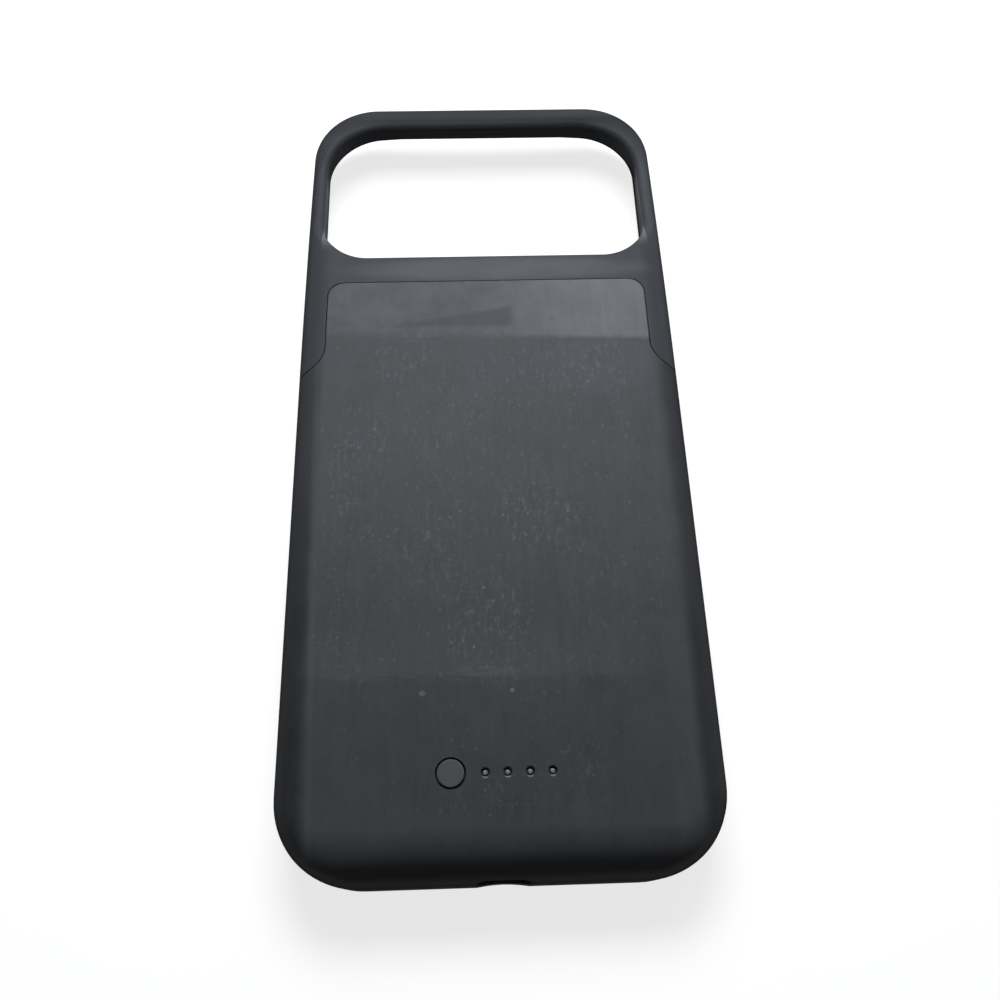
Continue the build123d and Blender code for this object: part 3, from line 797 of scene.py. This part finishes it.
def settle(piece: bpy.types.Object, body: Body, slot: Slot, *nodes: str) -> bpy.types.Object:
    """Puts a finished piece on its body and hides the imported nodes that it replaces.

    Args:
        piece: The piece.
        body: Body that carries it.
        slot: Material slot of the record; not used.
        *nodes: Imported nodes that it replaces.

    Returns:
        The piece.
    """
    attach(piece, body.value)
    if nodes:
        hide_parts(*nodes)
    return piece


def add_mesh(name: str, mesh: bpy.types.Mesh, material: bpy.types.Material) -> bpy.types.Object:
    """Links a mesh to the scene as an object at the origin.

    Args:
        name: Name of the piece.
        mesh: Its mesh, in place.
        material: Its finish.

    Returns:
        The object.
    """
    mesh.name = name
    mesh.materials.clear()
    mesh.materials.append(material)
    piece = bpy.data.objects.new(name, mesh)
    bpy.context.scene.collection.objects.link(piece)
    return piece


def moulded_copy(node: str, name: str, material: bpy.types.Material) -> bpy.types.Object:
    """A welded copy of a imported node, smooth over its rolls and sharp at its corners.

    Args:
        node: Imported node.
        name: Name of the piece.
        material: Its finish.

    Returns:
        The piece.
    """
    mesh = bpy.data.meshes.new(name)
    work = bmesh.new()
    work.from_mesh(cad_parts[node].data)
    bmesh.ops.remove_doubles(work, verts=work.verts, dist=WELD_DISTANCE)
    work.to_mesh(mesh)
    work.free()
    if "custom_normal" in mesh.attributes:
        mesh.attributes.remove(mesh.attributes["custom_normal"])
    mesh.shade_smooth()
    mesh.set_sharp_from_angle(angle=SHARP_ANGLE)
    piece = add_mesh(name, mesh, material)
    weighted = piece.modifiers.new("even_shading", "WEIGHTED_NORMAL")
    weighted.keep_sharp = True
    weighted.weight = SHADING_WEIGHT
    return piece


@dataclass
class Housing:
    """The mouldings that show: shell, soft window frame, cradle and button cap.

    Attributes:
        finishes: Materials to use.
    """

    finishes: Finishes

    def build(self) -> list[bpy.types.Object]:
        """Makes the mouldings.

        Returns:
            The pieces.
        """
        rows = [
            ("rear_shell", "hard_rear_shell", Body.CASE, Slot.SHELL),
            ("soft_top_frame", "soft_window_frame", Body.CASE, Slot.FRAME),
            ("cradle_frame", "phone_cradle", Body.CASE, Slot.CRADLE),
            ("button_cap", "status_button", Body.BUTTON, Slot.BUTTON),
        ]
        made = []
        for node, name, body, slot in rows:
            piece = moulded_copy(node, name, self.finishes.nodes[node])
            made.append(settle(piece, body, slot, node))
        return made


@dataclass(frozen=True)
class ContactRow:
    """Where two facing rows of contacts lie.

    Attributes:
        middle: Middle of the two rows in millimetres.
        size: Size of one contact in millimetres.
        gap: Distance between the middles of the two rows in millimetres.
        pitch: Distance between contacts in millimetres.
        count: Contacts in a row.
    """

    middle: Point
    size: Point
    gap: float
    pitch: float = 0.5
    count: int = 12


@dataclass
class Contacts:
    """Gold contacts of the charge socket and of the phone plug, repeated by one Geometry Nodes tree.

    Attributes:
        finishes: Materials to use.
        socket: Rows on the tongue of the charge socket.
        plug: Rows inside the phone plug.
    """

    finishes: Finishes
    socket: ContactRow = ContactRow((0.0, -81.25, 9.97), (0.26, 3.6, 0.04), 0.72)
    plug: ContactRow = ContactRow((0.0, -63.5, 5.675), (0.24, 3.0, 0.12), 1.5)

    @staticmethod
    def tree() -> bpy.types.GeometryNodeTree:
        """Makes the tree that repeats one contact in two rows.

        Returns:
            The tree, whose inputs are set on each modifier.
        """
        group = bpy.data.node_groups.new("contact_rows", "GeometryNodeTree")
        group.interface.new_socket("Geometry", in_out="OUTPUT", socket_type="NodeSocketGeometry")
        inputs = {
            "Count": "Int", "Pitch": "Float", "Gap": "Float", "Size": "Vector", "Middle": "Vector",
            "Finish": "Material",
        }
        for name, kind in inputs.items():
            group.interface.new_socket(name, in_out="INPUT", socket_type="NodeSocket" + kind)
        g = Graph(group)
        count, pitch, gap, size, middle, finish = g.outputs(g.node("NodeGroupInput"), *inputs)
        start = g.node("ShaderNodeCombineXYZ", {}, {"X": pitch * (1 - count) * 0.5})
        step = g.node("ShaderNodeCombineXYZ", {}, {"X": pitch})
        places = {"Count": count, "Start Location": start, "Offset": step}
        line = g.node("GeometryNodeMeshLine", {"mode": "OFFSET"}, places)
        bar = g.node("GeometryNodeMeshCube", {}, {"Size": size})
        row = g.node("GeometryNodeInstanceOnPoints", {}, {"Points": line, "Instance": bar})
        rows = []
        for side in (-0.5, 0.5):
            shift = g.node("ShaderNodeCombineXYZ", {}, {"Z": gap * side})
            rows.append(g.node("GeometryNodeTransform", {}, {"Geometry": row, "Translation": shift}))
        both = g.node("GeometryNodeJoinGeometry", {}, {"Geometry": rows})
        placed = g.node("GeometryNodeTransform", {}, {"Geometry": both, "Translation": middle})
        real = g.node("GeometryNodeRealizeInstances", {}, {"Geometry": placed})
        dressed = g.node("GeometryNodeSetMaterial", {}, {"Geometry": real, "Material": finish})
        g.node("NodeGroupOutput", {}, {"Geometry": dressed})
        return group

    def rows(self, name: str, tree: bpy.types.GeometryNodeTree, row: ContactRow) -> bpy.types.Object:
        """Makes the contacts of one connector.

        Args:
            name: Name of the piece.
            tree: Tree that repeats them.
            row: Where they lie.

        Returns:
            The piece.
        """
        values = {
            "Count": row.count, "Pitch": row.pitch * MM, "Gap": row.gap * MM,
            "Size": tuple(part * MM for part in row.size),
            "Middle": tuple(part * MM for part in row.middle), "Finish": self.finishes.gold,
        }
        piece = add_mesh(name, bpy.data.meshes.new(name), self.finishes.gold)
        repeat = piece.modifiers.new("rows", "NODES")
        repeat.node_group = tree
        for item in tree.interface.items_tree:
            if item.in_out == "INPUT":
                repeat[item.identifier] = values[item.name]
        graph = bpy.context.evaluated_depsgraph_get()
        made = bpy.data.meshes.new_from_object(piece.evaluated_get(graph), depsgraph=graph)
        piece.modifiers.remove(repeat)
        made.name = name
        piece.data = made
        return settle(piece, Body.CASE, Slot.STEEL)

    def build(self) -> list[bpy.types.Object]:
        """Makes the contacts.

        Returns:
            The pieces.
        """
        tree = self.tree()
        return [self.rows("socket_contacts", tree, self.socket), self.rows("plug_contacts", tree, self.plug)]


@dataclass
class Insides:
    """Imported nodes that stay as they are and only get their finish.

    Attributes:
        finishes: Materials to use.
    """

    finishes: Finishes

    def build(self) -> list[bpy.types.Object]:
        """Dresses the nodes.

        Returns:
            The nodes that show.
        """
        made = []
        for name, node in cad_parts.items():
            node.data.materials.clear()
            node.data.materials.append(self.finishes.nodes[name])
            if not node.hide_render:
                made.append(node)
        return made


@dataclass
class Studio:
    """Floor, soft light and the camera at the viewing angle of the photograph.

    Attributes:
        camera_place: Camera, in millimetres.
        camera_right: Its right.
        camera_up: Its up.
        lens: Focal length in millimetres.
        sensor: Width of the sensor in millimetres.
        lamps: Name, place, aim, size and power of each soft lamp.
        tint: Colour of the lamps.
        fill: Strength of the world's even light.
        backdrop: Strength of the world where it is seen.
        floor_reach: Half the width of the floor in metres.
        floor_dim: Grey of the floor where it lights the case.
        floor_pale: Grey of the floor where it is seen.
        floor_glow: Strength of its own light where it is seen.
    """

    camera_place: Point = (-3.4695, -90.6123, 180.0357)
    camera_right: Point = (0.999394, -0.031179, 0.015491)
    camera_up: Point = (0.022290, 0.914819, 0.403248)
    lens: float = 34.2
    sensor: float = 36.0
    lamps: Sequence[tuple[str, Point, Point, tuple[float, float], float]] = field(
        default_factory=lambda: [
            ("far_softbox", (0.0, 0.42, 0.48), (0.0, 0.03, 0.0), (0.35, 0.25), 3.15),
            ("close_softbox", (0.0, 0.10, 0.22), (0.0, 0.06, 0.0), (0.15, 0.10), 0.45),
            ("right_softbox", (0.40, 0.45, 0.50), (0.0, 0.0, 0.0), (0.30, 0.30), 0.5),
        ]
    )
    tint: Colour = (0.98, 1.0, 1.025)
    fill: float = 0.04
    backdrop: float = 0.8
    floor_reach: float = 3.0
    floor_dim: float = 0.08
    floor_pale: float = 0.28
    floor_glow: float = 0.78

    def build(self) -> None:
        """Makes the camera, the lamps, the floor and the world."""
        scene = bpy.context.scene
        scene.view_settings.view_transform = "Standard"
        self.add_camera(scene)
        for row in self.lamps:
            self.add_lamp(*row)
        self.add_floor()
        self.add_world(scene)

    def add_camera(self, scene: bpy.types.Scene) -> None:
        """Sets the scene's camera.

        Args:
            scene: Scene to set it in.
        """
        data = bpy.data.cameras.new("camera")
        data.lens = self.lens
        data.sensor_width = self.sensor
        data.clip_start = 0.005
        camera = bpy.data.objects.new("camera", data)
        right = Vector(self.camera_right).normalized()
        up = Vector(self.camera_up).normalized()
        back = right.cross(up)
        turn = Matrix((right, up, back)).transposed().to_4x4()
        camera.matrix_world = Matrix.Translation(Vector(self.camera_place) * MM) @ turn
        scene.collection.objects.link(camera)
        scene.camera = camera

    def add_lamp(self, name: str, place: Point, aim: Point, size: tuple[float, float], power: float) -> None:
        """Adds one soft rectangular lamp.

        Args:
            name: Its name.
            place: Its place in metres.
            aim: Point that it faces.
            size: Its width and height in metres.
            power: Its power in watts.
        """
        data = bpy.data.lights.new(name, "AREA")
        data.shape = "RECTANGLE"
        data.size, data.size_y = size
        data.energy = power
        data.color = self.tint
        lamp = bpy.data.objects.new(name, data)
        lamp.location = place
        lamp.rotation_euler = (Vector(aim) - Vector(place)).to_track_quat("-Z", "Y").to_euler()
        bpy.context.scene.collection.objects.link(lamp)

    @staticmethod
    def seen(g: Graph) -> Wire:
        """1 for rays that show a surface to the camera, straight, in a reflection or through glass."""
        camera = g.node("ShaderNodeLightPath", output="Is Camera Ray")
        glossy, through = g.outputs(camera, "Is Glossy Ray", "Is Transmission Ray")
        return camera.most(glossy).most(through)

    def add_floor(self) -> None:
        """Adds the pale floor, which keeps the shadow of the case."""
        mesh = bpy.data.meshes.new("floor")
        reach = self.floor_reach
        corners = [(-reach, -reach, 0), (reach, -reach, 0), (reach, reach, 0), (-reach, reach, 0)]
        mesh.from_pydata(corners, [], [(0, 1, 2, 3)])
        g = Surface("floor_paper")
        plain = g.node("ShaderNodeBsdfDiffuse", {}, {"Color": (self.floor_dim,) * 3})
        pale = g.node("ShaderNodeBsdfDiffuse", {}, {"Color": (self.floor_pale,) * 3})
        glow = g.node("ShaderNodeEmission", {}, {"Color": (1.0, 1.0, 1.0), "Strength": self.floor_glow})
        lit = g.node("ShaderNodeAddShader", {}, {0: pale, 1: glow})
        both = g.node("ShaderNodeMixShader", {}, {0: self.seen(g), 1: plain, 2: lit})
        g.node("ShaderNodeOutputMaterial", {}, {"Surface": both})
        floor = add_mesh("floor", mesh, g.material)

    def add_world(self, scene: bpy.types.Scene) -> None:
        """Adds the world: white where the camera sees it, dim where it lights the case.

        Args:
            scene: Scene to set it in.
        """
        world = bpy.data.worlds.new("studio")
        world.use_nodes = True
        g = Graph(world.node_tree)
        strength = self.fill + self.seen(g) * (self.backdrop - self.fill)
        sky = g.node("ShaderNodeBackground", {}, {"Color": (1.0, 1.0, 1.0), "Strength": strength})
        g.node("ShaderNodeOutputWorld", {}, {"Surface": sky})
        scene.world = world


def main() -> None:
    """Builds the case and the studio and reports each piece."""
    logging.basicConfig(level=logging.INFO, format="%(name)s: %(message)s")
    finishes = Finishes.make()
    for assembly in (Housing(finishes), Contacts(finishes), Insides(finishes)):
        for piece in assembly.build():
            log.info("%s has %d faces", piece.name, len(piece.data.polygons))
    Studio().build()


if __name__ == "__main__":
    main()
